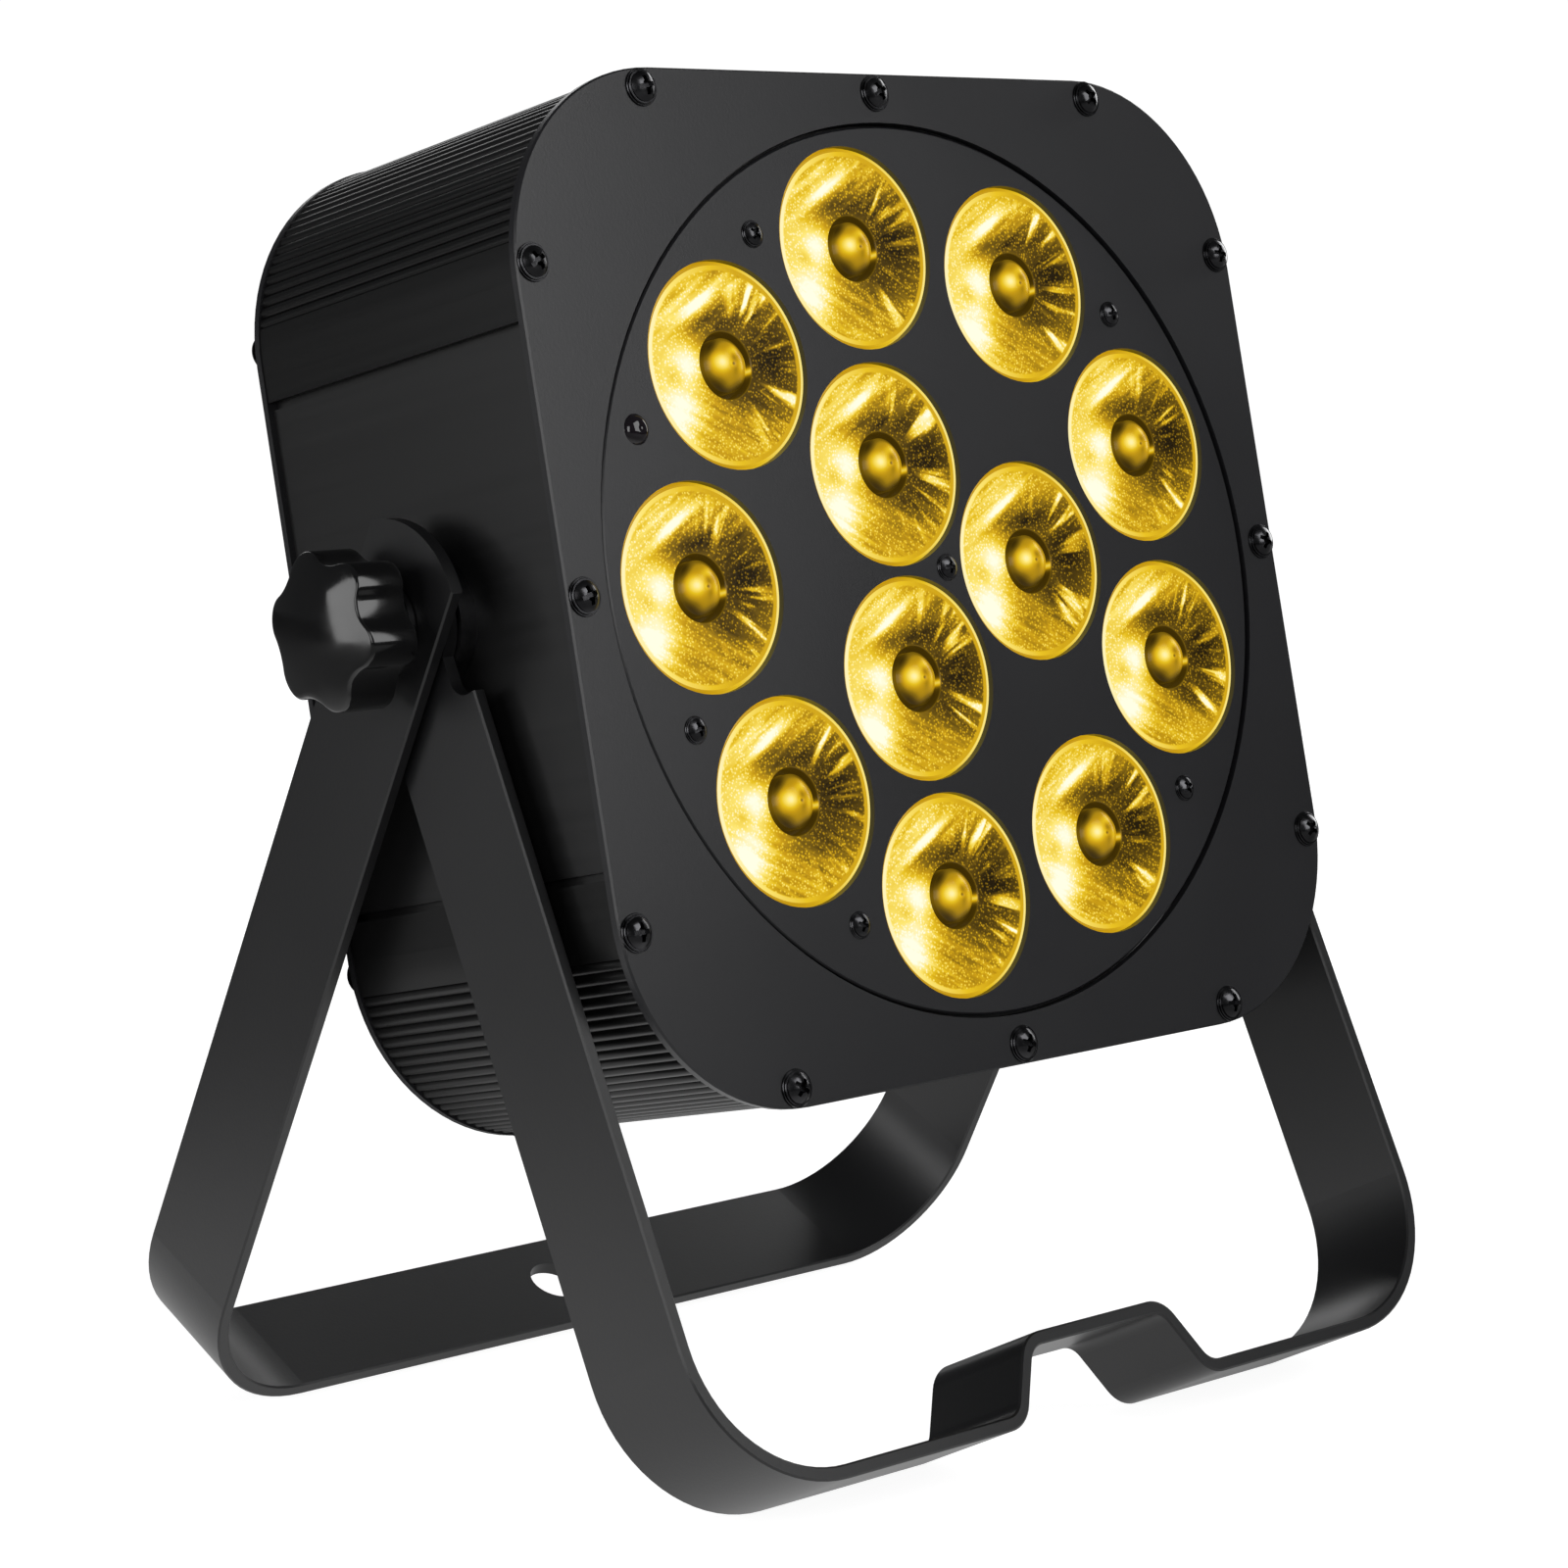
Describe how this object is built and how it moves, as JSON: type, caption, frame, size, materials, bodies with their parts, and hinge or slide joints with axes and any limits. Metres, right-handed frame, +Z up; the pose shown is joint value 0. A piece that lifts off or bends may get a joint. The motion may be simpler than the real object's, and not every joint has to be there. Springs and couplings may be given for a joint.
{
  "type": "led par can light",
  "caption": "Square LED par can with a round lens plate, ribbed aluminium housing and a double yoke that clamps or stands, held by star knobs.",
  "frame": {"origin": "centre of the whole object's box on the floor plane, standing on its two yokes", "axes": "+Z up, light facing -Y and tipped back about X, +X to the right seen from the front"},
  "size_m": [0.2804, 0.2022, 0.2984],
  "materials": {
    "powder_black": "satin black powder coat",
    "anodised_black": "satin black anodised",
    "bracket_black": "satin black powder coat on steel strip",
    "seal_rubber": "black rubber",
    "black_screws": "glossy black plated steel",
    "dark_steel": "dark plated steel",
    "bright_steel": "zinc plated steel",
    "knob_plastic": "glossy black phenolic",
    "sensor_plastic": "glossy black infrared window",
    "lens_optic": "clear collimator lens, lit yellow",
    "tray_plastic": "matte black moulding",
    "board_white": "white solder mask",
    "emitter_amber": "lit emitter domes",
    "board_green": "green solder mask",
    "psu_case": "perforated sheet aluminium",
    "fan_plastic": "black moulded plastic",
    "socket_metal": "black plated shell",
    "latch_metal": "bright push tab",
    "connector_plastic": "black moulded plastic",
    "display_window": "dark glossy window",
    "button_plastic": "grey moulded caps"
  },
  "bodies": {
    "housing": {"front_plate": "powder_black", "lens_plate": "powder_black", "rear_plate": "powder_black", "safety_bracket": "powder_black", "top_shell": "anodised_black", "bottom_shell": "anodised_black", "side_panel_left": "anodised_black", "side_panel_right": "anodised_black", "heatsink": "anodised_black", "front_gasket": "seal_rubber", "lens_plate_seal": "seal_rubber", "front_plate_screws": "black_screws", "lens_plate_screws": "black_screws", "rear_plate_screws": "black_screws", "rear_fitting_screws": "black_screws", "lens_plate_standoffs": "dark_steel", "pivot_boss_left": "dark_steel", "pivot_boss_right": "dark_steel", "sensor_window": "sensor_plastic", "lens_01": "lens_optic", "lens_02": "lens_optic", "lens_03": "lens_optic", "lens_04": "lens_optic", "lens_05": "lens_optic", "lens_06": "lens_optic", "lens_07": "lens_optic", "lens_08": "lens_optic", "lens_09": "lens_optic", "lens_10": "lens_optic", "lens_11": "lens_optic", "lens_12": "lens_optic", "optic_tray": "tray_plastic", "led_board": "board_white", "led_emitters": "emitter_amber", "driver_board": "board_green", "display_board": "board_green", "power_supply": "psu_case", "fan_frame": "fan_plastic", "dmx_in_socket": "socket_metal", "dmx_out_socket": "socket_metal", "mains_inlet": "connector_plastic", "mains_outlet": "connector_plastic", "fuse_holder": "connector_plastic", "display_window": "display_window"},
    "front_yoke": {"front_bracket": "bracket_black"},
    "rear_yoke": {"rear_bracket": "bracket_black", "bracket_washers": "dark_steel"},
    "left_washer": {"knob_washer_left": "dark_steel"},
    "right_washer": {"knob_washer_right": "dark_steel"},
    "left_knob": {"knob_left": "knob_plastic", "knob_stud_left": "bright_steel"},
    "right_knob": {"knob_right": "knob_plastic", "knob_stud_right": "bright_steel"},
    "fan": {"fan_rotor": "fan_plastic"},
    "menu_key": {"menu_button": "button_plastic"},
    "down_key": {"down_button": "button_plastic"},
    "up_key": {"up_button": "button_plastic"},
    "enter_key": {"enter_button": "button_plastic"},
    "latch": {"dmx_latch": "latch_metal"}
  },
  "joints": [
    {"name": "front_yoke_pivot", "type": "hinge", "parent": "housing", "child": "front_yoke", "pos_m": [0, -0.00721, 0.18368], "axis": [1, 0, 0], "continuous": true},
    {"name": "rear_yoke_pivot", "type": "hinge", "parent": "housing", "child": "rear_yoke", "pos_m": [0, -0.00721, 0.18368], "axis": [1, 0, 0], "continuous": true},
    {"name": "left_knob_travel", "type": "slide", "parent": "housing", "child": "left_washer", "axis": [-1, 0, 0], "range_m": [0, 0.00125]},
    {"name": "left_knob_turn", "type": "hinge", "parent": "left_washer", "child": "left_knob", "pos_m": [0, -0.00721, 0.18368], "axis": [-1, 0, 0], "range_deg": [0, 360]},
    {"name": "right_knob_travel", "type": "slide", "parent": "housing", "child": "right_washer", "axis": [1, 0, 0], "range_m": [0, 0.00125]},
    {"name": "right_knob_turn", "type": "hinge", "parent": "right_washer", "child": "right_knob", "pos_m": [0, -0.00721, 0.18368], "axis": [1, 0, 0], "range_deg": [0, 360]},
    {"name": "fan_spin", "type": "hinge", "parent": "housing", "child": "fan", "pos_m": [0, 0.02357, 0.18159], "axis": [0, 0.9812, -0.1932], "continuous": true},
    {"name": "menu_press", "type": "slide", "parent": "housing", "child": "menu_key", "axis": [0, -0.9812, 0.1932], "range_m": [0, 0.001], "stiffness_N_per_m": 900},
    {"name": "down_press", "type": "slide", "parent": "housing", "child": "down_key", "axis": [0, -0.9812, 0.1932], "range_m": [0, 0.001], "stiffness_N_per_m": 900},
    {"name": "up_press", "type": "slide", "parent": "housing", "child": "up_key", "axis": [0, -0.9812, 0.1932], "range_m": [0, 0.001], "stiffness_N_per_m": 900},
    {"name": "enter_press", "type": "slide", "parent": "housing", "child": "enter_key", "axis": [0, -0.9812, 0.1932], "range_m": [0, 0.001], "stiffness_N_per_m": 900},
    {"name": "latch_press", "type": "slide", "parent": "housing", "child": "latch", "axis": [0, -0.9812, 0.1932], "range_m": [0, 0.0015], "stiffness_N_per_m": 1200}
  ],
  "couplings": [
    {"joint": "left_knob_turn", "follows": "left_knob_travel", "rad_per_m": 5026.5},
    {"joint": "right_knob_turn", "follows": "right_knob_travel", "rad_per_m": 5026.5}
  ]
}
